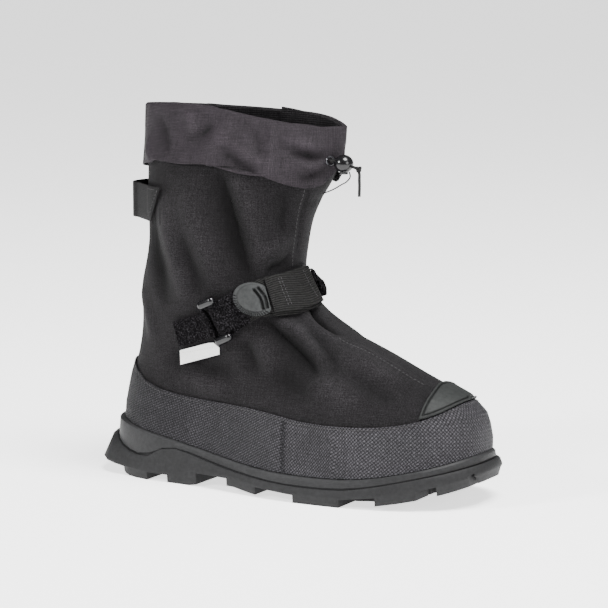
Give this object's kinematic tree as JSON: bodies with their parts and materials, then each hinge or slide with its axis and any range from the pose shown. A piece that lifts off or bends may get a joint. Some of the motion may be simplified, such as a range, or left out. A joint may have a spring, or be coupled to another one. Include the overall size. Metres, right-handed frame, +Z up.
{
  "type": "overshoe",
  "caption": "Pull-on nylon overshoe for the right foot with folded cuff, woven foot panel, instep strap, drawcord lock and lugged rubber sole.",
  "frame": {"origin": "on the floor under the middle of the heel, on the flat face of the middle heel lug", "axes": "+X from heel to toe, +Z up, -Y towards the outer (lateral) side of this right shoe"},
  "size_m": [0.3305, 0.1242, 0.2927],
  "materials": {
    "sole_rubber": "matte moulded charcoal rubber",
    "rand_rubber": "satin moulded charcoal rubber",
    "foot_bed": "plain felt-like lining",
    "shell_nylon": "matte coated nylon",
    "woven_nylon": "coarse ballistic weave",
    "patch_rubber": "moulded grey rubber",
    "cuff_nylon": "plain-woven coated nylon",
    "tape": "fuzzy loop tape",
    "webbing": "ribbed elastic webbing",
    "tab_rubber": "moulded grey rubber",
    "ring_plastic": "glossy black",
    "label_cloth": "white woven label, bare",
    "eyelet_metal": "dark nickel",
    "cord": "braided cord"
  },
  "bodies": {
    "root": {"outsole": "sole_rubber", "midsole": "rand_rubber", "insole": "foot_bed", "upper": "shell_nylon", "foot_panel": "woven_nylon", "toe_patch": "patch_rubber", "cuff": "cuff_nylon", "pull_loop": "tape", "strap_anchor": "tape", "side_ring": "ring_plastic", "instep_strap": "webbing", "front_ring": "ring_plastic", "front_anchor": "tape", "pull_tab": "tab_rubber", "side_label": "label_cloth", "cord_eyelet": "eyelet_metal", "cord_lock": "ring_plastic", "cord_plunger": "ring_plastic", "drawcord_lead": "cord", "drawcord_knot": "cord", "drawcord_tail": "cord", "drawcord_strand": "cord"}
  },
  "joints": []
}
